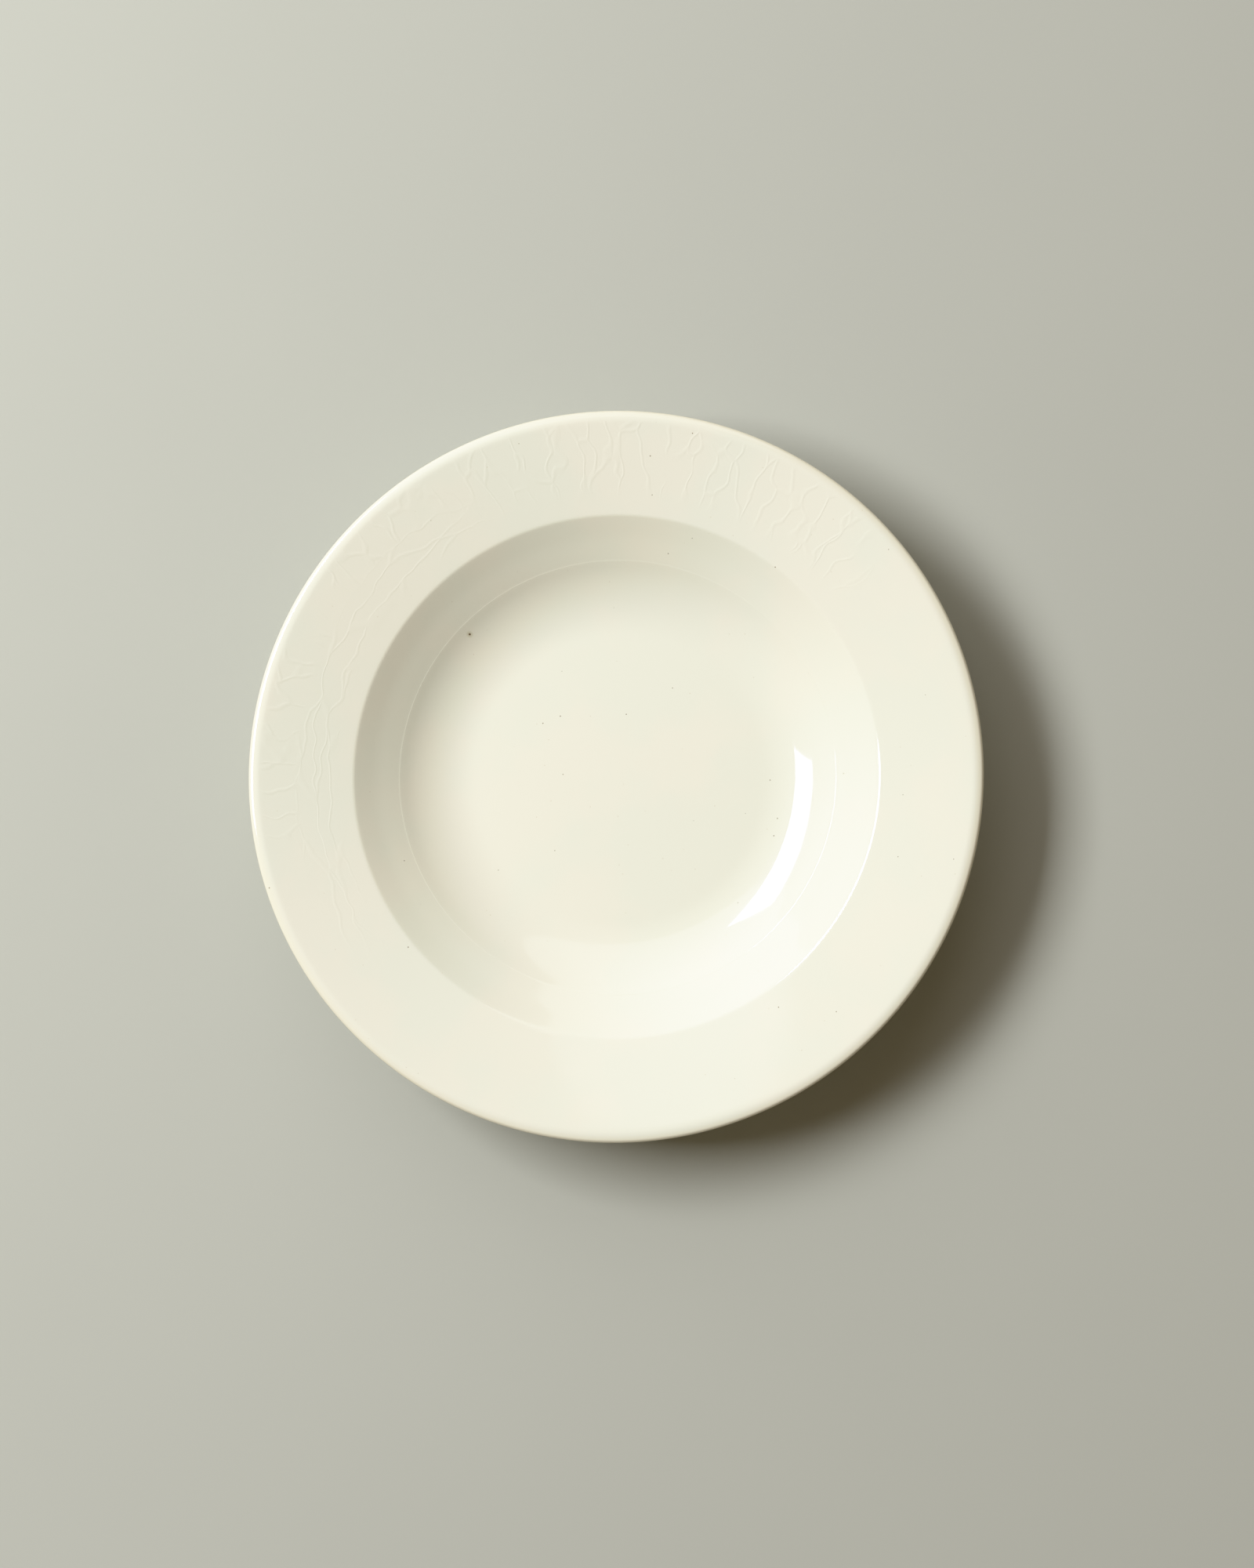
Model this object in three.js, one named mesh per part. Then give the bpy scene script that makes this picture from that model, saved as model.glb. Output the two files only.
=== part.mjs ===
// Deep plate: a glazed earthenware soup plate with a broad rim, a round well and a turned foot ring.
// Millimetres, +Z up. The plate is centred on the Z axis and stands on its foot ring at Z = 0.
import * as THREE from "three";

// Face of the plate, measured on the finished glaze
const plateDiameter = 240;
const rimWidth = 33.8;
const rimSlope = 13;
const lipRadius = 3.4;
const wellDepth = 17.2;
const coveRadius = 40;

// Upper wall of the well, between the lip and the low ring where the wall meets the cove
const upperWallRun = 14;
const upperWallRise = 9.2;
const upperWallRadius = 95;
const upperWallHollow = 2.6;
const ringBreak = 3.2;
const ringRadius = 5;

// Outer edge: the rim turns down over a narrow shoulder and ends in a rounded edge
const shoulderWidth = 2.6;
const shoulderDrop = 12;
const shoulderRadius = 6;
const edgeTopRadius = 1.4;
const edgeBottomRadius = 1.5;

// Thickness of the finished plate, clay and glaze together
const rimThickness = 4.2;
const wallThickness = 4.4;
const floorThickness = 6.2;
const backLipRadius = 9;

// Foot ring, turned from the same clay, with a bare ring of clay to stand on
const footHeight = 5.2;
const footInset = 2.4;
const standingWidth = 3;
const footDraft = 14;
const heelRadius = 3;
const footRootRadius = 1.2;
const footEdgeRadius = 0.6;

// Glaze: how thick it lies, and how far up the foot ring it stops
const glazeThickness = 0.4;
const bareHeight = 1.1;

// Fineness of the faceted solids
const turnSegments = 48;
const arcSag = 0.07;

const degrees = THREE.MathUtils.degToRad;

// A straight face of the section: a point (radius, height) on it and the direction the outline runs in.
// The outline starts at the middle of the well and runs round the edge to the back, with air on its left.
function faceAt(radius, height, angle) {
  return {
    point: new THREE.Vector2(radius, height),
    run: new THREE.Vector2(Math.cos(angle), Math.sin(angle)),
  };
}

// The air side of a face that runs in the given direction.
function airSide(run) {
  return new THREE.Vector2(-run.y, run.x);
}

// The face moved towards the air by a distance, or into the material by a negative one.
function moved(face, distance) {
  return {
    point: face.point.clone().addScaledVector(airSide(face.run), distance),
    run: face.run.clone(),
  };
}

// The back of a wall of the given thickness, which the outline runs along the other way.
function backOf(face, thickness) {
  const back = moved(face, -thickness);
  back.run.negate();
  return back;
}

// Where two faces meet.
function meeting(first, second) {
  const between = second.point.clone().sub(first.point);
  const along = between.cross(second.run) / first.run.cross(second.run);
  return first.point.clone().addScaledVector(first.run, along);
}

// The outline along a row of faces from start to end, each corner rounded by its own radius.
// A rounding that is too large for its walls is limited by them. Each step is a point and its air side.
function roundedOutline(start, faces, radii, end) {
  const corners = radii.map((_, i) => meeting(faces[i], faces[i + 1]));
  const ends = [start, ...corners, end];
  const lengths = faces.map((_, i) => ends[i].distanceTo(ends[i + 1]));
  const turns = radii.map((_, i) => faces[i].run.cross(faces[i + 1].run)).map(Math.asin);
  const setbacks = radii.map((radius, i) => radius * Math.tan(Math.abs(turns[i]) / 2));
  const shareOf = (i) => Math.min(1, lengths[i] / ((setbacks[i - 1] ?? 0) + (setbacks[i] ?? 0)));
  const outline = [{ point: start, air: airSide(faces[0].run) }];
  radii.forEach((radius, i) => {
    const share = Math.min(shareOf(i), shareOf(i + 1));
    outline.push(...rounding(corners[i], faces[i].run, turns[i], radius * share));
  });
  outline.push({ point: end, air: airSide(faces.at(-1).run) });
  return outline;
}

// The arc that rounds one corner: it starts along the first run and turns by the given angle.
function rounding(corner, run, turn, radius) {
  const setback = radius * Math.tan(Math.abs(turn) / 2);
  const begin = corner.clone().addScaledVector(run, -setback);
  const side = Math.sign(turn);
  const centre = begin.clone().addScaledVector(airSide(run), side * radius);
  const steps = Math.ceil(Math.abs(turn) / (2 * Math.acos(1 - arcSag / radius)));
  return Array.from({ length: steps + 1 }, (_, i) => {
    const air = airSide(run).rotateAround(new THREE.Vector2(), (turn * i) / steps);
    return { point: centre.clone().addScaledVector(air, -side * radius), air };
  });
}

const pointsOf = (outline) => outline.map((step) => step.point);
const clayUnder = (outline) =>
  outline.map((step) => step.point.clone().addScaledVector(step.air, -glazeThickness));

// Heights and radii that follow from the sizes above
const plateRadius = plateDiameter / 2;
const mouthRadius = plateRadius - rimWidth;
const floorHeight = footHeight + floorThickness;
const mouthHeight = floorHeight + wellDepth;
const upperWallAngle = Math.atan2(upperWallRise, upperWallRun);
const lowWallAngle = upperWallAngle - degrees(upperWallHollow) / 2;
const highWallAngle = upperWallAngle + degrees(upperWallHollow) / 2;
const ringPlace = mouthRadius - upperWallRun;
const ringHeight = mouthHeight - upperWallRise;
const shoulderStart = plateRadius - shoulderWidth;
const shoulderHeight = mouthHeight + (shoulderStart - mouthRadius) * Math.tan(degrees(rimSlope));

// Faces of the finished plate, in the order that the outline meets them
const outwards = 0;
const downwards = -Math.PI / 2;
const inwards = Math.PI;
const floor = faceAt(0, floorHeight, outwards);
const coveSide = faceAt(ringPlace, ringHeight, lowWallAngle + degrees(ringBreak));
const lowWall = faceAt(ringPlace, ringHeight, lowWallAngle);
const highWall = faceAt(mouthRadius, mouthHeight, highWallAngle);
const rim = faceAt(mouthRadius, mouthHeight, degrees(rimSlope));
const shoulder = faceAt(shoulderStart, shoulderHeight, -degrees(shoulderDrop));
const edge = faceAt(plateRadius, shoulderHeight, downwards);
const rimBack = backOf(rim, rimThickness);
const wallBack = backOf(faceAt(mouthRadius, mouthHeight, upperWallAngle), wallThickness);
const underside = faceAt(0, footHeight, inwards);

// The foot ring's clay sides lean in towards its standing ring, and the glaze lies over them
const heelCorner = meeting(wallBack, underside);
const standingRadius = heelCorner.x - footInset - footHeight * Math.tan(degrees(footDraft));
const footOuterClay = faceAt(standingRadius, 0, downwards - degrees(footDraft));
const footInnerClay = faceAt(standingRadius - standingWidth, 0, -downwards + degrees(footDraft));
const standing = faceAt(0, 0, inwards);
const footOuter = moved(footOuterClay, glazeThickness);
const footInner = moved(footInnerClay, glazeThickness);
const glazeLine = faceAt(0, bareHeight, inwards);

const coatOutline = roundedOutline(
  new THREE.Vector2(0, floorHeight),
  [floor, coveSide, lowWall, highWall, rim, shoulder, edge, rimBack, wallBack, underside, footOuter],
  [
    coveRadius,
    ringRadius,
    upperWallRadius,
    lipRadius,
    shoulderRadius,
    edgeTopRadius,
    edgeBottomRadius,
    backLipRadius,
    heelRadius,
    footRootRadius,
  ],
  meeting(footOuter, glazeLine),
);
const recessOutline = roundedOutline(
  meeting(footInner, glazeLine),
  [footInner, underside],
  [footRootRadius],
  new THREE.Vector2(0, footHeight),
);
const coatClay = clayUnder(coatOutline);
const recessClay = clayUnder(recessOutline);
const standingOutline = roundedOutline(
  coatClay.at(-1),
  [footOuterClay, standing, footInnerClay],
  [footEdgeRadius, footEdgeRadius],
  recessClay[0],
);

const ivoryGlaze = new THREE.MeshStandardMaterial({ color: "#efeddb", roughness: 0.12, metalness: 0 });
const recessGlaze = new THREE.MeshStandardMaterial({ color: "#ebe7d3", roughness: 0.2, metalness: 0 });
const bareClay = new THREE.MeshStandardMaterial({ color: "#d9c9ab", roughness: 0.85, metalness: 0 });

// A body turned about the Z axis from a section that starts and ends on the axis, with air on its left.
function turnedBody(name, section, material) {
  const geometry = new THREE.LatheGeometry(section.toReversed(), turnSegments);
  geometry.rotateX(Math.PI / 2);
  const body = new THREE.Mesh(geometry, material);
  body.name = name;
  return body;
}

const claySection = [...coatClay, ...pointsOf(standingOutline).slice(1, -1), ...recessClay];
const coatSection = [...pointsOf(coatOutline), ...coatClay.toReversed()];
const recessSection = [...recessClay.toReversed(), ...pointsOf(recessOutline)];

const plate = new THREE.Group();
plate.name = "deep_plate";
plate.add(
  turnedBody("clay_body", claySection, bareClay),
  turnedBody("glaze_coat", coatSection, ivoryGlaze),
  turnedBody("foot_recess_glaze", recessSection, recessGlaze),
);

export default plate;
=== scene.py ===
# %% [markdown]
# # A deep plate in ivory glaze
# The real plate is one lump of buff clay, shaped on a wheel, fired, and covered with a glossy ivory glaze
# that has crazed on the rim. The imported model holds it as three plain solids: the clay, the glaze over
# it, and the glaze inside the foot. This lesson puts a finer mesh of the same section in place of each,
# gives each its finish, and takes the picture from above in soft light.

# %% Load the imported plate
import math
from collections import namedtuple

import bmesh
import bpy
from mathutils import Matrix, Vector, geometry


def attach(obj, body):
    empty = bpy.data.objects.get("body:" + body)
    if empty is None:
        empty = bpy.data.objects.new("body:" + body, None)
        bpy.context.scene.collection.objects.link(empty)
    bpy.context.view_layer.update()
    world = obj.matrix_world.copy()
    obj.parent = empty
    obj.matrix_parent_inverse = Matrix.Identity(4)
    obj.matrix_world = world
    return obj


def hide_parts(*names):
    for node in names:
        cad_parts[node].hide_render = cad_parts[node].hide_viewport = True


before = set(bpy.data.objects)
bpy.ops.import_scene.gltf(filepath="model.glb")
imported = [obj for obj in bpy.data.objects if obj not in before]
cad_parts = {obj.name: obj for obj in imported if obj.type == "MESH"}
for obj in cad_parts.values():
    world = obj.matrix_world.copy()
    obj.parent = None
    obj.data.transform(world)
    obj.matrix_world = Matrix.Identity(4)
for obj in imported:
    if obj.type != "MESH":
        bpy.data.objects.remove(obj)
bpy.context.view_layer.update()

# %% [markdown]
# ## The sizes that shape the section
# A plate is a body of revolution, so one half section tells all of its shape. A section can be traced
# point by point, but then no size in it can be changed later. These are the few sizes that the solids are
# drawn from, repeated in metres, so that the fine meshes lie where the solids are. Only two things among
# them are new: the rib that shaped the wall left a ledge on the ring, a tenth of a millimetre wide, which
# catches the light, and the glaze that pooled under it fills half of the wall's break.

# %% Sizes of the plate
mm = 0.001
plate_radius = 120 * mm
rim_width = 33.8 * mm
rim_slope = math.radians(13)
well_depth = 17.2 * mm
upper_wall_run = 14 * mm
upper_wall_rise = 9.2 * mm
upper_wall_hollow = math.radians(2.6)
ring_break = math.radians(3.2)
pooled_break = ring_break / 2
ledge_width = 0.11 * mm
ledge_slope = math.radians(19.5)
shoulder_width = 2.6 * mm
shoulder_drop = math.radians(12)
rim_thickness = 4.2 * mm
wall_thickness = 4.4 * mm
floor_thickness = 6.2 * mm
foot_height = 5.2 * mm
foot_inset = 2.4 * mm
standing_width = 3 * mm
foot_draft = math.radians(14)
glaze_thickness = 0.4 * mm
bare_height = 1.1 * mm

mouth_radius = plate_radius - rim_width
floor_height = foot_height + floor_thickness
mouth_height = floor_height + well_depth
upper_wall_angle = math.atan2(upper_wall_rise, upper_wall_run)
low_wall_angle = upper_wall_angle - upper_wall_hollow / 2
high_wall_angle = upper_wall_angle + upper_wall_hollow / 2
ring_place = mouth_radius - upper_wall_run
ring_height = mouth_height - upper_wall_rise
shoulder_start = plate_radius - shoulder_width
shoulder_height = mouth_height + (shoulder_start - mouth_radius) * math.tan(rim_slope)
low_degrees = math.degrees(low_wall_angle)
high_degrees = math.degrees(high_wall_angle)
print(f"The wall steepens from {low_degrees:.1f} to {high_degrees:.1f} degrees")

# %% [markdown]
# ## Faces and corners
# A turner thinks of a section as straight faces with rounded corners: floor, wall, rim, edge, and back
# again underneath. Each face here is a point and a heading, and the outline always runs with the air on
# its left. Two neighbouring faces meet in a corner, which Blender's line crossing finds.

# %% Faces of the section
Face = namedtuple("Face", "point heading")
outwards = 0
downwards = -math.pi / 2
inwards = math.pi


def along(heading):
    return Vector((math.cos(heading), 0, math.sin(heading)))


def air_side(heading):
    return Vector((-math.sin(heading), 0, math.cos(heading)))


def face_at(radius, height, heading):
    return Face(Vector((radius, 0, height)), heading)


def moved(face, distance):
    return Face(face.point + air_side(face.heading) * distance, face.heading)


def back_of(face, thickness):
    return Face(moved(face, -thickness).point, face.heading + math.pi)


def meeting(first, second):
    lines = [point for face in (first, second) for point in (face.point, face.point + along(face.heading))]
    return geometry.intersect_line_line(*lines)[0]


floor = face_at(0, floor_height, outwards)
low_wall = face_at(ring_place, ring_height, low_wall_angle)
cove_side = face_at(ring_place, ring_height, low_wall_angle + ring_break)
ring_ledge = face_at(ring_place, ring_height, ledge_slope)
ledge_start = ring_ledge.point - along(ledge_slope) * ledge_width
cove_below_ledge = Face(ledge_start, low_wall_angle + pooled_break)
high_wall = face_at(mouth_radius, mouth_height, high_wall_angle)
rim = face_at(mouth_radius, mouth_height, rim_slope)
shoulder = face_at(shoulder_start, shoulder_height, -shoulder_drop)
edge = face_at(plate_radius, shoulder_height, downwards)
rim_back = back_of(rim, rim_thickness)
wall_back = back_of(face_at(mouth_radius, mouth_height, upper_wall_angle), wall_thickness)
underside = face_at(0, foot_height, inwards)
heel = meeting(wall_back, underside)
standing_radius = heel.x - foot_inset - foot_height * math.tan(foot_draft)
foot_outer = moved(face_at(standing_radius, 0, downwards - foot_draft), glaze_thickness)
standing = face_at(0, 0, inwards)
foot_inner = moved(face_at(standing_radius - standing_width, 0, -downwards + foot_draft), glaze_thickness)
print(f"The foot ring stands on a bare ring {2 * standing_radius:.4f} m across")

# %% [markdown]
# ## The corners' roundings
# Glaze softens every corner, and the potter's rib leaves a wide cove where the floor turns up into the
# wall. A bevel of the corner vertex would give part of an ellipse, so each rounding is a true arc of its
# own radius. The ledge is only in the glaze's outer surface, so the well has two runs of faces: a plain
# one for the clay and the glaze's inner side, and a stepped one for what is seen.

# %% Sizes of the roundings
cove_rounding = 40 * mm
ring_rounding = 5 * mm
crest_rounding = 0.15 * mm
ledge_rounding = 0.4 * mm
hollow_rounding = 95 * mm
lip_rounding = 3.4 * mm
shoulder_rounding = 6 * mm
edge_top_rounding = 1.4 * mm
edge_bottom_rounding = 1.5 * mm
back_lip_rounding = 9 * mm
heel_rounding = 3 * mm
foot_root_rounding = 1.2 * mm
foot_edge_rounding = 0.6 * mm
print(f"The roundings run from {crest_rounding} to {hollow_rounding} m")

# %% Roundings in the order of the faces
well_faces = [floor, cove_side, low_wall]
well_roundings = [cove_rounding, ring_rounding]
stepped_faces = [floor, cove_below_ledge, ring_ledge, low_wall]
stepped_roundings = [cove_rounding, crest_rounding, ledge_rounding]
outer_faces = [high_wall, rim, shoulder, edge, rim_back, wall_back, underside, foot_outer]
outer_roundings = [
    hollow_rounding,
    lip_rounding,
    shoulder_rounding,
    edge_top_rounding,
    edge_bottom_rounding,
    back_lip_rounding,
    heel_rounding,
    foot_root_rounding,
]
coat_faces = stepped_faces + outer_faces
coat_roundings = stepped_roundings + outer_roundings
recess_faces = [foot_inner, underside]
recess_roundings = [foot_root_rounding]


def turn_between(first, second):
    return math.remainder(second.heading - first.heading, math.tau)


def turns_along(faces):
    return [turn_between(*pair) for pair in zip(faces, faces[1:])]


def under_glaze(faces, roundings):
    """The clay faces under a run of glaze faces, and the roundings that keep the glaze equally thick."""
    clay_faces = [moved(face, -glaze_thickness) for face in faces]
    widened = [math.copysign(glaze_thickness, turn) for turn in turns_along(faces)]
    return clay_faces, [radius + wider for radius, wider in zip(roundings, widened)]


def turned_round(faces, roundings):
    """The same run of faces, followed the other way."""
    return [back_of(face, 0) for face in reversed(faces)], roundings[::-1]


coat_turns = [round(math.degrees(turn)) for turn in turns_along(coat_faces)]
print("The coat turns", coat_turns, "degrees at its corners")

# %% [markdown]
# ## A pen made of operators
# The section is drawn as a wire in the XZ plane. The pen's tip is one vertex: extruding and moving it
# draws a straight stroke, and spinning it about a centre beside it draws an arc. The glaze that is seen
# gets short strokes. The faces buried between clay and glaze get long ones, and so does the bare standing
# ring, which is flat.

# %% Draw a section
Fineness = namedtuple("Fineness", "stroke arc_turn")
seen = Fineness(stroke=1 * mm, arc_turn=math.radians(5))
buried = Fineness(stroke=5 * mm, arc_turn=math.radians(12))


class SectionPen:
    """Draws a section with the air on its left: straight strokes, and arcs that turn left or right."""

    def __init__(self, section, start, heading):
        self.section = section
        self.tip = section.verts.new(start)
        self.heading = heading

    def run(self, length, fineness):
        strokes = math.ceil(length / fineness.stroke)
        for _ in range(strokes):
            self.tip = bmesh.ops.extrude_vert_indiv(self.section, verts=[self.tip])["verts"][0]
            bmesh.ops.translate(self.section, verts=[self.tip], vec=along(self.heading) * length / strokes)

    def turn(self, radius, angle, fineness):
        centre = self.tip.co + air_side(self.heading) * math.copysign(radius, angle)
        steps = math.ceil(max(abs(angle) / fineness.arc_turn, abs(angle) * radius / fineness.stroke))
        spun = bmesh.ops.spin(
            self.section, geom=[self.tip], cent=centre, axis=(0, -1, 0), angle=angle, steps=steps
        )
        self.tip = next(item for item in spun["geom_last"] if isinstance(item, bmesh.types.BMVert))
        self.heading += angle

    def follow(self, faces, roundings, end, fineness):
        for first, second, radius in zip(faces, faces[1:], roundings):
            turn = turn_between(first, second)
            setback = radius * math.tan(abs(turn) / 2)
            self.run((meeting(first, second) - self.tip.co).length - setback, fineness)
            self.turn(radius, turn, fineness)
        self.run((end - self.tip.co).length, fineness)


def on_axis(height):
    return Vector((0, 0, height))


glaze_line = face_at(0, bare_height, inwards)
coat_clay = under_glaze(well_faces + outer_faces, well_roundings + outer_roundings)
recess_clay = under_glaze(recess_faces, recess_roundings)
glaze_bead = glaze_thickness / 2
print(f"The glaze stops {bare_height:.4f} m above the table in a bead of {glaze_bead:.4f} m radius")

# %% [markdown]
# ## From section to plate
# A full spin about the Z axis makes the body, as the wheel does. The spin leaves a stack of equal
# vertices on the axis, so doubles are merged first and the normals are set to point outwards after that.
# Drying and firing then pull a real plate a little out of true: it is slightly oval, and its rim is not
# quite flat.

# %% Spin a section into a piece
spin_steps = 256
merge_distance = 0.001 * mm
oval_share = 0.0035
oval_heading = math.radians(-161)
rim_wave = 0.15 * mm
waves_round = 2
wave_heading = math.radians(40)


def pull_out_of_true(body):
    turned = Matrix.Rotation(-oval_heading, 4, "Z")
    bmesh.ops.scale(body, verts=body.verts, vec=(1 + oval_share, 1 - oval_share, 1), space=turned)
    for vert in body.verts:
        reach = max(0, vert.co.xy.length - standing_radius) / (plate_radius - standing_radius)
        heading = math.atan2(vert.co.y, vert.co.x)
        vert.co.z += rim_wave * reach**2 * math.cos(waves_round * (heading - wave_heading))


def spin_piece(name, section, node):
    wire = section.verts[:] + section.edges[:]
    bmesh.ops.spin(
        section, geom=wire, cent=(0, 0, 0), axis=(0, 0, 1), angle=math.tau, steps=spin_steps, use_merge=True
    )
    bmesh.ops.remove_doubles(section, verts=section.verts, dist=merge_distance)
    bmesh.ops.recalc_face_normals(section, faces=section.faces)
    pull_out_of_true(section)
    mesh = bpy.data.meshes.new(name)
    section.to_mesh(mesh)
    section.free()
    mesh.shade_smooth()
    piece = bpy.data.objects.new(name, mesh)
    bpy.context.scene.collection.objects.link(piece)
    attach(piece, "root")
    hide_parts(node)
    print(name, "has", sum(len(face.vertices) - 2 for face in mesh.polygons), "triangles")
    return piece


# %% [markdown]
# ## The glaze coat
# The coat is a closed skin of glass. Its pen starts in the middle of the well, goes over the rim and down
# the back to the foot ring, turns round in the small bead where the glaze stopped running, and comes back
# to the axis along the clay. A Solidify modifier would also give it thickness, but not the rounded bead.

# %% Make the glaze coat
coat_section = bmesh.new()
pen = SectionPen(coat_section, on_axis(floor_height), outwards)
pen.follow(coat_faces, coat_roundings, meeting(foot_outer, glaze_line), seen)
pen.turn(glaze_bead, -math.pi, seen)
pen.follow(*turned_round(*coat_clay), on_axis(floor_height - glaze_thickness), buried)
glaze_coat = spin_piece("plate_glaze", coat_section, "glaze_coat")

# %% [markdown]
# ## The glaze inside the foot
# Inside the foot ring the dipped glaze lies in a shallow dish of its own, cut off from the coat by the
# bare ring. Its pen starts at the axis on the clay side, rounds its own bead, and returns along the
# visible face.

# %% Make the glaze inside the foot
recess_section = bmesh.new()
pen = SectionPen(recess_section, on_axis(foot_height + glaze_thickness), outwards)
pen.follow(*turned_round(*recess_clay), meeting(recess_clay[0][0], glaze_line), buried)
pen.turn(glaze_bead, -math.pi, seen)
pen.follow(recess_faces, recess_roundings, on_axis(foot_height), seen)
recess_glaze = spin_piece("foot_glaze", recess_section, "foot_recess_glaze")

# %% [markdown]
# ## The clay body
# The clay follows the same faces, one glaze thickness further in, and comes into the open only on the
# standing ring. There its edges are rubbed round with a wet sponge, which is the smallest rounding of the
# clay.

# %% Make the clay body
clay_faces = [*coat_clay[0], standing, *recess_clay[0]]
clay_roundings = [*coat_clay[1], foot_edge_rounding, foot_edge_rounding, *recess_clay[1]]
clay_section = bmesh.new()
pen = SectionPen(clay_section, on_axis(floor_height - glaze_thickness), outwards)
pen.follow(clay_faces, clay_roundings, on_axis(foot_height + glaze_thickness), buried)
clay_body = spin_piece("plate_clay", clay_section, "clay_body")

# %% [markdown]
# ## Small helpers for shader nodes
# A material is a graph of nodes. The first helper adds one node, sets its options, and joins or sets its
# inputs. The others use it for the steps that come back often, so that each finish below reads as a short
# recipe.

# %% Helpers for node trees
def add_node(tree, kind, inputs=(), **options):
    """Adds a node; each input is a value to set or a socket to link from, by its name or place."""
    node = tree.nodes.new("ShaderNode" + kind)
    for option, value in options.items():
        setattr(node, option, value)
    for key, value in dict(inputs).items():
        if isinstance(value, bpy.types.NodeSocket):
            tree.links.new(value, node.inputs[key])
        else:
            node.inputs[key].default_value = value
    return node


def calculate(tree, operation, *values):
    return add_node(tree, "Math", enumerate(values), operation=operation).outputs[0]


def fade(tree, value, start, end):
    """A soft step: 0 where the value is at start, 1 where it is at end."""
    inputs = {"Value": value, "From Min": start, "From Max": end}
    return add_node(tree, "MapRange", inputs, interpolation_type="SMOOTHSTEP").outputs[0]


def band(tree, value, start, full_from, full_to, end):
    """1 between two values, fading out to 0 on both sides of them."""
    return calculate(tree, "MULTIPLY", fade(tree, value, start, full_from), fade(tree, value, end, full_to))


print("Node helpers are ready")

# %% Helpers for vectors, noise and groups
def combine(tree, operation, first, second):
    """A vector from two others, such as their sum or their product."""
    return add_node(tree, "VectorMath", {0: first, 1: second}, operation=operation).outputs[0]


def scaled(tree, vector, scale):
    return add_node(tree, "VectorMath", {0: vector, "Scale": scale}, operation="SCALE").outputs[0]


def measured(tree, operation, *vectors):
    """A number from one or two vectors, such as a length or a distance."""
    return add_node(tree, "VectorMath", enumerate(vectors), operation=operation).outputs["Value"]


def noise(tree, place, scale, detail):
    """Soft random clouds; the scale is in clouds per metre."""
    return add_node(tree, "TexNoise", {"Vector": place, "Scale": scale, "Detail": detail}).outputs


def new_group(name, inputs, outputs):
    group = bpy.data.node_groups.new(name, "ShaderNodeTree")
    for socket, kind in inputs.items():
        group.interface.new_socket(socket, in_out="INPUT", socket_type="NodeSocket" + kind)
    for socket, kind in outputs.items():
        group.interface.new_socket(socket, in_out="OUTPUT", socket_type="NodeSocket" + kind)
    return group, group.nodes.new("NodeGroupInput").outputs, group.nodes.new("NodeGroupOutput").inputs


print("Group helpers are ready")

# %% [markdown]
# ## Where a point lies on a turned body
# Crazing on a plate follows the wheel: some cracks run round, others run out to the edge. This group
# turns an object's own coordinates into the radius, the direction from the axis, and a place on an
# unrolled drum, where a pattern can be stretched round or outwards without a seam.

# %% Group: place on the wheel
drum_radius = 105 * mm
flattening = (1, 1, 0)
wheel_group, given, result = new_group(
    "place_on_wheel", {"Place": "Vector"}, {"Radius": "Float", "Direction": "Vector", "Unrolled": "Vector"}
)
flat = combine(wheel_group, "MULTIPLY", given["Place"], flattening)
radius = measured(wheel_group, "LENGTH", flat)
direction = add_node(wheel_group, "VectorMath", {0: flat}, operation="NORMALIZE").outputs[0]
drum = scaled(wheel_group, direction, drum_radius)
drum_height = add_node(wheel_group, "CombineXYZ", {"Z": radius}).outputs[0]
wheel_group.links.new(radius, result["Radius"])
wheel_group.links.new(direction, result["Direction"])
wheel_group.links.new(combine(wheel_group, "ADD", drum, drum_height), result["Unrolled"])
print("Made the group", wheel_group.name)

# %% [markdown]
# ## Crazing
# Glaze shrinks more than clay as it cools, and cracks into cells. The edges of a Voronoi pattern are such
# cells, a warp makes their lines wander, and a coarse noise breaks them off, because real crazing comes
# in patches. The group gives a mask of soft lines, and each glaze sets its own cell and stretch.

# %% Group: crazing lines
wander_scale = 90
wander_share = 1.2
noise_middle = (0.5, 0.5, 0.5)
patch_low = 0.38
patch_high = 0.46
crazing_group, given, result = new_group(
    "crazing_lines",
    {"Unrolled": "Vector", "Cell": "Float", "Stretch": "Vector", "Width": "Float", "Patch": "Float"},
    {"Line": "Float"},
)
wander = noise(crazing_group, given["Unrolled"], scale=wander_scale, detail=1)["Color"]
wander_offset = combine(crazing_group, "SUBTRACT", wander, noise_middle)
wander_reach = calculate(crazing_group, "MULTIPLY", given["Cell"], wander_share)
wander_step = scaled(crazing_group, wander_offset, wander_reach)
wandered = combine(crazing_group, "ADD", given["Unrolled"], wander_step)
stretched = combine(crazing_group, "MULTIPLY", wandered, given["Stretch"])
cells_per_metre = calculate(crazing_group, "DIVIDE", 1, given["Cell"])
cells = add_node(
    crazing_group, "TexVoronoi", {"Vector": stretched, "Scale": cells_per_metre}, feature="DISTANCE_TO_EDGE"
)
from_edge = calculate(crazing_group, "MULTIPLY", cells.outputs["Distance"], given["Cell"])
line = fade(crazing_group, from_edge, given["Width"], 0)
patches = noise(crazing_group, given["Unrolled"], scale=given["Patch"], detail=2)["Fac"]
patch_mask = fade(crazing_group, patches, patch_low, patch_high)
crazing_group.links.new(calculate(crazing_group, "MULTIPLY", line, patch_mask), result["Line"])
print("Made the group", crazing_group.name)

# %% [markdown]
# ## Iron specks
# Grains of iron in the clay burn through the glaze as tiny brown dots. Points of a Voronoi pattern lie at
# random in space, and only the few that lie close to the surface show, each with its own size. A speck is
# dark in its core and fades out to its edge.

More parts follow.
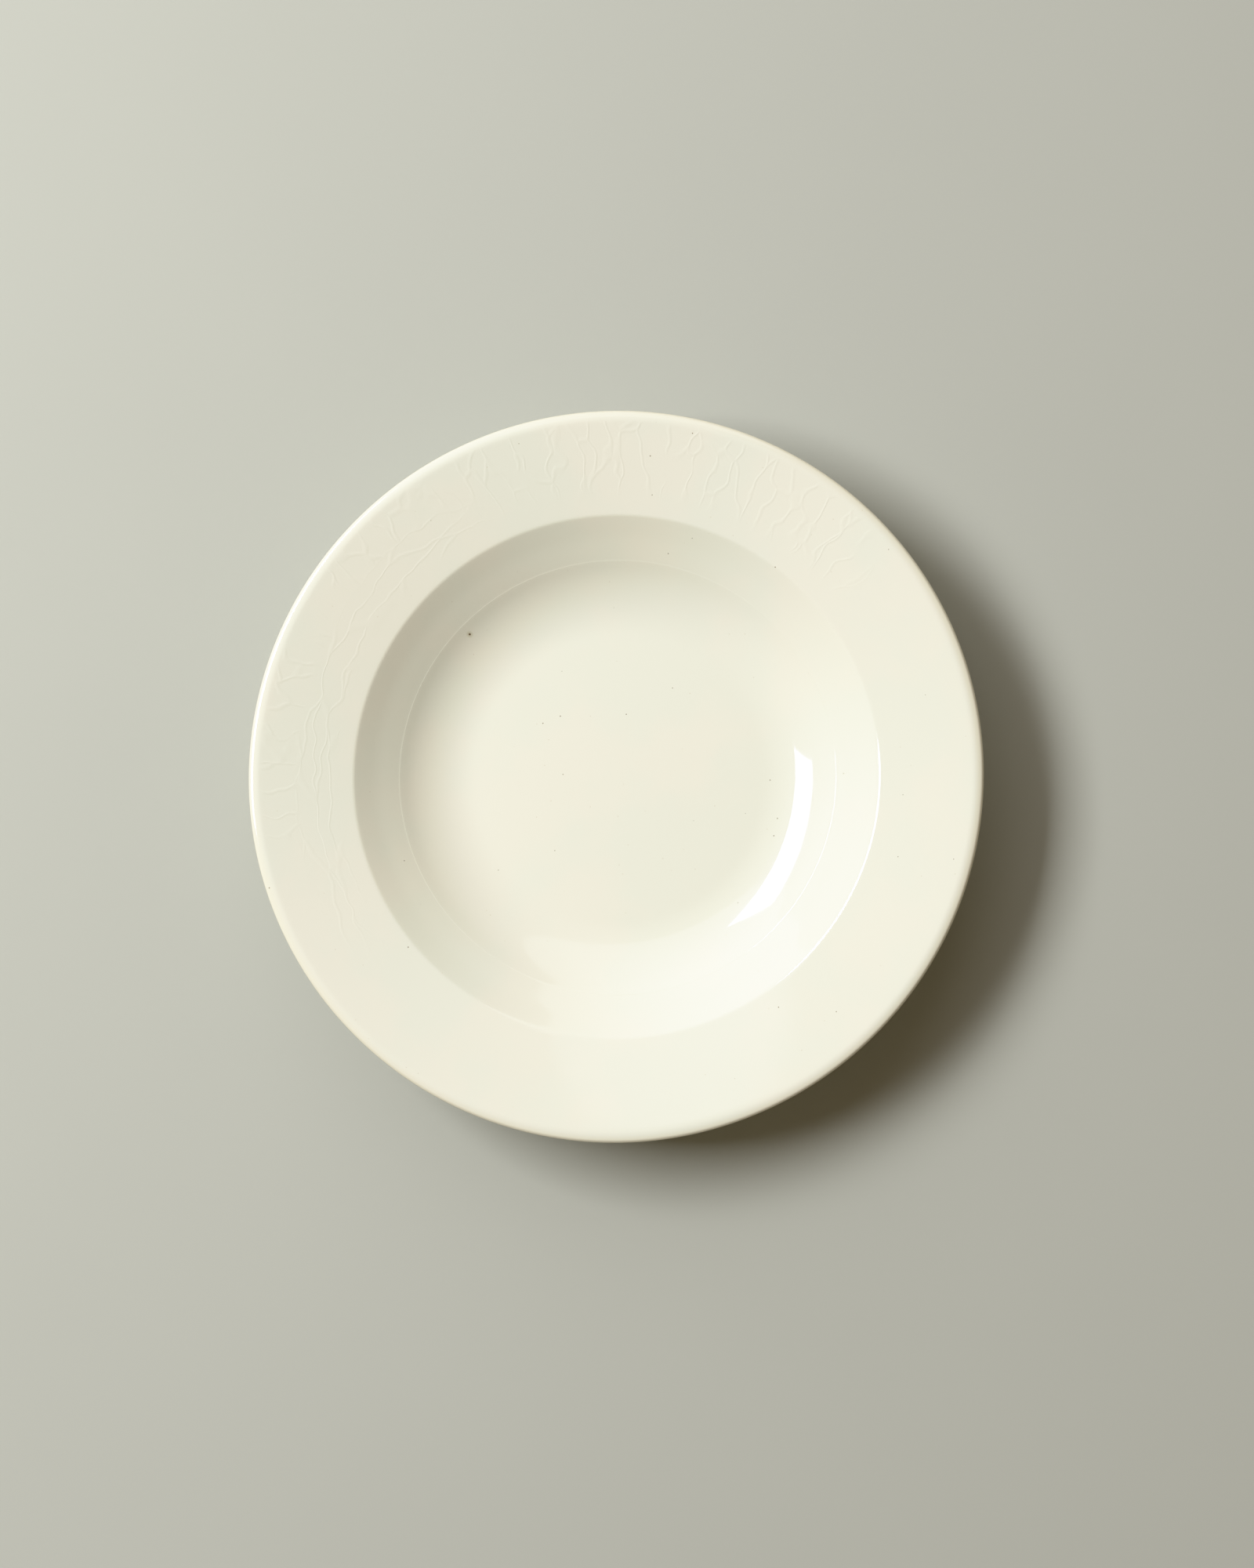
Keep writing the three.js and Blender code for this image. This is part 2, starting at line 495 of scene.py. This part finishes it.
# %% Group: iron specks
speck_core = 0.5
speck_group, given, result = new_group(
    "iron_specks", {"Place": "Vector", "Spacing": "Float", "Size": "Float"}, {"Speck": "Float"}
)
specks_per_metre = calculate(speck_group, "DIVIDE", 1, given["Spacing"])
grains = add_node(speck_group, "TexVoronoi", {"Vector": given["Place"], "Scale": specks_per_metre})
from_grain = calculate(speck_group, "MULTIPLY", grains.outputs["Distance"], given["Spacing"])
core_size = calculate(speck_group, "MULTIPLY", given["Size"], speck_core)
speck_group.links.new(fade(speck_group, from_grain, given["Size"], core_size), result["Speck"])
print("Made the group", speck_group.name)

# %% [markdown]
# ## Mottling
# A dipped glaze is never quite even. Two layers of noise give clouds a few centimetres wide that tint the
# colour, and finer clouds that change the gloss.

# %% Group: mottling
gloss_fineness = 4
mottle_group, given, result = new_group(
    "glaze_mottling", {"Place": "Vector", "Cloud": "Float"}, {"Cloud": "Float", "Gloss": "Float"}
)
clouds_per_metre = calculate(mottle_group, "DIVIDE", 1, given["Cloud"])
gloss_per_metre = calculate(mottle_group, "MULTIPLY", clouds_per_metre, gloss_fineness)
clouds = noise(mottle_group, given["Place"], scale=clouds_per_metre, detail=3)["Fac"]
gloss = noise(mottle_group, given["Place"], scale=gloss_per_metre, detail=2)["Fac"]
mottle_group.links.new(clouds, result["Cloud"])
mottle_group.links.new(gloss, result["Gloss"])
print("Made the group", mottle_group.name)

# %% [markdown]
# ## Starting a material
# Every finish starts from the piece's own object coordinates, which stay on the piece in every view and
# in the export. These helpers start a material, place a group in it, and mix two colours by a mask.

# %% Helpers for materials
def new_material(name):
    material = bpy.data.materials.new(name)
    material.use_nodes = True
    tree = material.node_tree
    shader = tree.nodes["Principled BSDF"]
    place = add_node(tree, "TexCoord").outputs["Object"]
    return material, tree, shader, place


def place_group(tree, group, **inputs):
    named_inputs = {name.title(): value for name, value in inputs.items()}
    return add_node(tree, "Group", named_inputs, node_tree=group).outputs


def tint(tree, base, colour, mask):
    mix = add_node(tree, "Mix", {"Factor": mask}, data_type="RGBA")
    for socket, value in (("A_Color", base), ("B_Color", colour)):
        target = next(item for item in mix.inputs if item.identifier == socket)
        if isinstance(value, bpy.types.NodeSocket):
            tree.links.new(value, target)
        else:
            target.default_value = (*value, 1)
    return next(item for item in mix.outputs if item.identifier == "Result_Color")


print("Material helpers are ready")

# %% [markdown]
# ## Relief and gloss
# What is too low for the mesh goes into the bump: a height of 1 stands up by a given distance. A second
# bump can lie over a first one, by taking its normal in. The gloss follows the fine clouds of the
# mottling.

# %% Helpers for relief and gloss
gloss_low = 0.3
gloss_high = 0.7


def bump(tree, height, distance, over=None):
    inputs = {"Height": height, "Distance": distance, "Strength": 1}
    if over is not None:
        inputs["Normal"] = over
    return add_node(tree, "Bump", inputs).outputs[0]


def uneven_gloss(tree, clouds, smooth, dull):
    """A roughness that runs from smooth to dull with the clouds."""
    limits = {"From Min": gloss_low, "From Max": gloss_high, "To Min": smooth, "To Max": dull}
    return add_node(tree, "MapRange", {"Value": clouds, **limits}).outputs[0]


print("Relief helpers are ready")

# %% [markdown]
# ## The ivory glaze
# The coat is a clear, slightly yellow glass over pale clay. It is thin and warm where it ran off the
# outer edge, and a little greener in clouds where it pooled. It carries many faint specks, a few dark
# ones, and on the wall one large one with an olive halo. The crazing has hardly any colour: it stands up
# in low ridges on the rim, which run round on the left and out to the edge at the top, so it goes into
# the bump.

# %% Material: ivory glaze
ivory = (0.838, 0.81, 0.67)
pooled_ivory = (0.812, 0.807, 0.669)
thin_ivory = (0.81, 0.765, 0.60)
cloud_low = 0.4
cloud_high = 0.6
thin_width = 3 * mm
ivory_glaze, tree, shader, place = new_material("ivory_glaze")
wheel = place_group(tree, wheel_group, place=place)
mottle = place_group(tree, mottle_group, place=place, cloud=40 * mm)
pooled = fade(tree, mottle["Cloud"], cloud_low, cloud_high)
thin = fade(tree, wheel["Radius"], plate_radius - thin_width, plate_radius)
colour = tint(tree, ivory, pooled_ivory, pooled)
colour = tint(tree, colour, thin_ivory, thin)
print("The coat's colour runs from", ivory, "to", thin_ivory)

# %% Specks in the coat
iron_brown = (0.16, 0.10, 0.05)
faint_brown = (0.60, 0.53, 0.38)
halo_olive = (0.45, 0.40, 0.18)
wall_speck = (-49.2 * mm, 47.7 * mm, 0)
wall_speck_size = 0.45 * mm
halo_size = 1.4 * mm
halo_share = 0.35
faint_specks = place_group(tree, speck_group, place=place, spacing=5 * mm, size=0.17 * mm)["Speck"]
dark_specks = place_group(tree, speck_group, place=place, spacing=8 * mm, size=0.25 * mm)["Speck"]
from_wall_speck = measured(tree, "DISTANCE", combine(tree, "MULTIPLY", place, flattening), wall_speck)
halo = calculate(tree, "MULTIPLY", fade(tree, from_wall_speck, halo_size, wall_speck_size), halo_share)
wall_core = fade(tree, from_wall_speck, wall_speck_size, wall_speck_size * speck_core)
colour = tint(tree, colour, faint_brown, faint_specks)
colour = tint(tree, colour, iron_brown, dark_specks)
colour = tint(tree, colour, halo_olive, halo)
colour = tint(tree, colour, iron_brown, wall_core)
tree.links.new(colour, shader.inputs["Base Color"])
print("The speck on the wall lies at", wall_speck[:2])

# %% Crazing that runs round the rim
round_side = (-0.97, 0.24, 0)
round_share = 0.7


def facing(tree, direction, side, start, full):
    """1 on one side of the plate, fading out where the direction turns away from that side."""
    return fade(tree, measured(tree, "DOT_PRODUCT", direction, side), start, full)


round_lines = place_group(
    tree,
    crazing_group,
    unrolled=wheel["Unrolled"],
    cell=5 * mm,
    stretch=(0.16, 0.16, 1),
    width=0.4 * mm,
    patch=17,
)["Line"]
round_band = band(tree, wheel["Radius"], start=91 * mm, full_from=94 * mm, full_to=103 * mm, end=107 * mm)
round_part = facing(tree, wheel["Direction"], round_side, start=0.55, full=0.8)
round_place = calculate(tree, "MULTIPLY", round_band, round_part)
round_ridges = calculate(tree, "MULTIPLY", round_lines, round_place)
round_ridges = calculate(tree, "MULTIPLY", round_ridges, round_share)
print("Ridges run round the rim on the side", round_side)

# %% Crazing that runs out to the edge
outward_side = (-0.42, 0.91, 0)
outward_lines = place_group(
    tree,
    crazing_group,
    unrolled=wheel["Unrolled"],
    cell=7 * mm,
    stretch=(1, 1, 0.3),
    width=0.55 * mm,
    patch=40,
)["Line"]
outward_band = band(tree, wheel["Radius"], start=90 * mm, full_from=98 * mm, full_to=115 * mm, end=117 * mm)
outward_part = facing(tree, wheel["Direction"], outward_side, start=0.1, full=0.4)
outward_place = calculate(tree, "MULTIPLY", outward_band, outward_part)
outward_alone = calculate(tree, "MULTIPLY", outward_place, calculate(tree, "SUBTRACT", 1, round_place))
outward_ridges = calculate(tree, "MULTIPLY", outward_lines, outward_alone)
rim_ridges = calculate(tree, "MAXIMUM", outward_ridges, round_ridges)
print("Ridges run out to the edge on the side", outward_side)

# %% Relief and gloss of the coat
ridge_height = 0.042 * mm
gloss_height = 0.004 * mm
ridge_normal = bump(tree, rim_ridges, ridge_height)
coat_normal = bump(tree, mottle["Gloss"], gloss_height, over=ridge_normal)
tree.links.new(coat_normal, shader.inputs["Normal"])
tree.links.new(uneven_gloss(tree, mottle["Gloss"], smooth=0.04, dull=0.09), shader.inputs["Roughness"])
glaze_coat.data.materials.append(ivory_glaze)
print("Crazing stands", ridge_height, "m proud on the rim")

# %% [markdown]
# ## The glaze under the foot
# Nobody polishes the underside: the glaze there is a little greyer and less even, with wider crazing and
# larger specks, and the rings that the turning tool left in the clay still show through it. It uses the
# same groups with its own values.

# %% Material: glaze under the foot
recess_ivory = (0.76, 0.74, 0.61)
recess_pooled = (0.70, 0.69, 0.56)
foot_ivory, tree, shader, place = new_material("foot_ivory_glaze")
wheel = place_group(tree, wheel_group, place=place)
mottle = place_group(tree, mottle_group, place=place, cloud=18 * mm)
specks = place_group(tree, speck_group, place=place, spacing=9 * mm, size=0.5 * mm)["Speck"]
pooled = fade(tree, mottle["Cloud"], cloud_low, cloud_high)
colour = tint(tree, recess_ivory, recess_pooled, pooled)
colour = tint(tree, colour, iron_brown, specks)
tree.links.new(colour, shader.inputs["Base Color"])
print("The colour under the foot runs from", recess_ivory, "to", recess_pooled)

# %% Relief and gloss under the foot
foot_ridge_height = 0.034 * mm
turning_pitch = 2.4 * mm
turning_height = 0.014 * mm
foot_lines = place_group(
    tree,
    crazing_group,
    unrolled=place,
    cell=16 * mm,
    stretch=(1, 1, 1),
    width=0.3 * mm,
    patch=22,
)["Line"]
turning_phase = calculate(tree, "MULTIPLY", wheel["Radius"], math.tau / turning_pitch)
turning_wave = calculate(tree, "SINE", turning_phase)
turning_normal = bump(tree, turning_wave, turning_height)
foot_normal = bump(tree, foot_lines, foot_ridge_height, over=turning_normal)
tree.links.new(foot_normal, shader.inputs["Normal"])
tree.links.new(uneven_gloss(tree, mottle["Gloss"], smooth=0.1, dull=0.25), shader.inputs["Roughness"])
recess_glaze.data.materials.append(foot_ivory)
print("The turning rings lie", turning_pitch, "m apart")

# %% [markdown]
# ## The bare clay
# The standing ring is biscuit: matt, buff, gritty, and grey where it has been pushed over tables. Fine
# noise makes the grit, and a coarser one the rubbed patches on the face that touches the table.

# %% Material: buff clay
buff = (0.62, 0.50, 0.35)
toasted_buff = (0.50, 0.36, 0.22)
rubbed_grey = (0.36, 0.33, 0.28)
rub_height = 0.3 * mm
grit_height = 0.05 * mm
biscuit_roughness = 0.85
buff_clay, tree, shader, place = new_material("buff_clay")
grit = noise(tree, place, scale=1600, detail=4)["Fac"]
rub_patches = noise(tree, place, scale=130, detail=3)["Fac"]
height = add_node(tree, "SeparateXYZ", {0: place}).outputs["Z"]
touching = fade(tree, height, rub_height, 0)
rubbed = calculate(tree, "MULTIPLY", touching, fade(tree, rub_patches, start=0.48, end=0.62))
colour = tint(tree, buff, toasted_buff, fade(tree, grit, start=0.45, end=0.65))
colour = tint(tree, colour, rubbed_grey, rubbed)
tree.links.new(colour, shader.inputs["Base Color"])
tree.links.new(bump(tree, grit, grit_height), shader.inputs["Normal"])
shader.inputs["Roughness"].default_value = biscuit_roughness
clay_body.data.materials.append(buff_clay)
print("The grit of the clay stands", grit_height, "m proud")

# %% [markdown]
# ## The floor
# The plate stands on a plain pale board, far larger than the picture, so that no edge of it shows. Its
# matt paint is clouded very faintly.

# %% Floor
floor_reach = 4
board = bmesh.new()
bmesh.ops.create_grid(board, x_segments=1, y_segments=1, size=floor_reach)
board_mesh = bpy.data.meshes.new("board")
board.to_mesh(board_mesh)
board.free()
board_piece = bpy.data.objects.new("board", board_mesh)
bpy.context.scene.collection.objects.link(board_piece)
print("The board is", 2 * floor_reach, "m wide")

# %% Material: board paint
board_grey = (0.48, 0.483, 0.421)
board_shade = (0.468, 0.471, 0.411)
board_roughness = 0.75
board_gloss = 0.2
board_paint, tree, shader, place = new_material("board_paint")
board_clouds = noise(tree, place, scale=14, detail=4)["Fac"]
tree.links.new(tint(tree, board_grey, board_shade, board_clouds), shader.inputs["Base Color"])
shader.inputs["Roughness"].default_value = board_roughness
shader.inputs["Specular IOR Level"].default_value = board_gloss
board_mesh.materials.append(board_paint)
print("The board's colour runs from", board_grey, "to", board_shade)

# %% [markdown]
# ## Light
# The gloss in the well mirrors the light, so the crescent there tells where it comes from: a wide bright
# window on the left, 40 degrees from upright and nearly two metres away, beside a pale wall that gives
# light too. Area lights of that size make soft shadows by themselves. Both are set out from one plane that
# faces the plate, and a dim warm room fills in.

# %% Light
light_distance = 1.857
light_heading = math.radians(-211)
light_lean = math.radians(39.5)
light_colour = (0.924, 0.952, 1)
light_side = Vector((math.cos(light_heading), math.sin(light_heading), 0))
light_direction = light_side * math.sin(light_lean) + on_axis(math.cos(light_lean))
facing_plate = light_direction.to_track_quat("Z", "Y").to_matrix().to_4x4()
light_plane = Matrix.Translation(light_direction * light_distance) @ facing_plate


def soft_light(name, shape, place, width, height, turn, energy):
    """An area light in metres and watts, placed sideways, upwards and backwards from the light plane."""
    light = bpy.data.lights.new(name, "AREA")
    light.shape = shape
    light.size = width
    light.size_y = height
    light.color = light_colour
    light.energy = energy
    lamp = bpy.data.objects.new(name, light)
    bpy.context.scene.collection.objects.link(lamp)
    turned = Matrix.Rotation(math.radians(turn), 4, "Z")
    lamp.matrix_world = light_plane @ Matrix.Translation(place) @ turned
    print(name, "stands at", lamp.matrix_world.translation[:])


soft_light("window", "RECTANGLE", place=(0.19, 0, 0), width=1.06, height=0.57, turn=20, energy=38.8)
soft_light("pale_wall", "ELLIPSE", place=(-1.6, -0.1, 0.1), width=3.2, height=2.8, turn=0, energy=23)

# %% Room
room_colour = (0.174, 0.137, 0.086)
room = bpy.data.worlds.new("room")
room.use_nodes = True
room.node_tree.nodes["Background"].inputs["Color"].default_value = (*room_colour, 1)
bpy.context.scene.world = room
print("The room's colour is", room_colour)

# %% [markdown]
# ## Bright tones
# A camera does not cut bright tones off, it bends them gently towards white. Blender's Standard view does
# cut, so a display curve bends the tones above three quarters. The lit side of the well then keeps its
# ring and its lip.

# %% Display curve
brightest = 1.3
bent_tones = {0.25: 0.25, 0.5: 0.5, 0.75: 0.75, 1: 0.935}
all_colours = 3
view = bpy.context.scene.view_settings
view.view_transform = "Standard"
view.use_curve_mapping = True
view.curve_mapping.white_level = (brightest, brightest, brightest)
tone_curve = view.curve_mapping.curves[all_colours]
for light_level, shown in bent_tones.items():
    tone_curve.points.new(light_level / brightest, shown)
view.curve_mapping.update()
print("Tones from 0 to", brightest, "are shown")

# %% [markdown]
# ## Camera
# The photograph was taken from nearly straight above, leaning a little towards the front right, with a
# long lens. The camera aims beside the plate's middle, as the photographer did, so no lens shift is
# needed.

# %% Camera
camera_distance = 1.2
camera_lean_right = math.radians(3.5)
camera_lean_front = math.radians(2.0)
lens_mm = 84.45
sensor_mm = 36
aim_right = 4.27 * mm
aim_front = 2.8 * mm
camera_data = bpy.data.cameras.new("camera")
camera_data.lens = lens_mm
camera_data.sensor_width = sensor_mm
camera = bpy.data.objects.new("camera", camera_data)
bpy.context.scene.collection.objects.link(camera)
bpy.context.scene.camera = camera
print("The camera has a", lens_mm, "mm lens")

# %% Aim the camera
rim_centre = on_axis(shoulder_height)
aim = rim_centre + Vector((aim_right, -aim_front, 0))
camera_side = Vector((math.sin(camera_lean_right), -math.sin(camera_lean_front), 0))
camera_up = Vector((0, 0, math.sqrt(1 - camera_side.length_squared)))
camera_place = rim_centre + (camera_side + camera_up) * camera_distance
backwards = (camera_place - aim).normalized()
rightwards = Vector((0, 1, 0)).cross(backwards).normalized()
picture_up = backwards.cross(rightwards)
look = Matrix((rightwards, picture_up, backwards)).transposed().to_4x4()
camera.matrix_world = Matrix.Translation(camera_place) @ look
print("The camera stands at", camera_place[:])
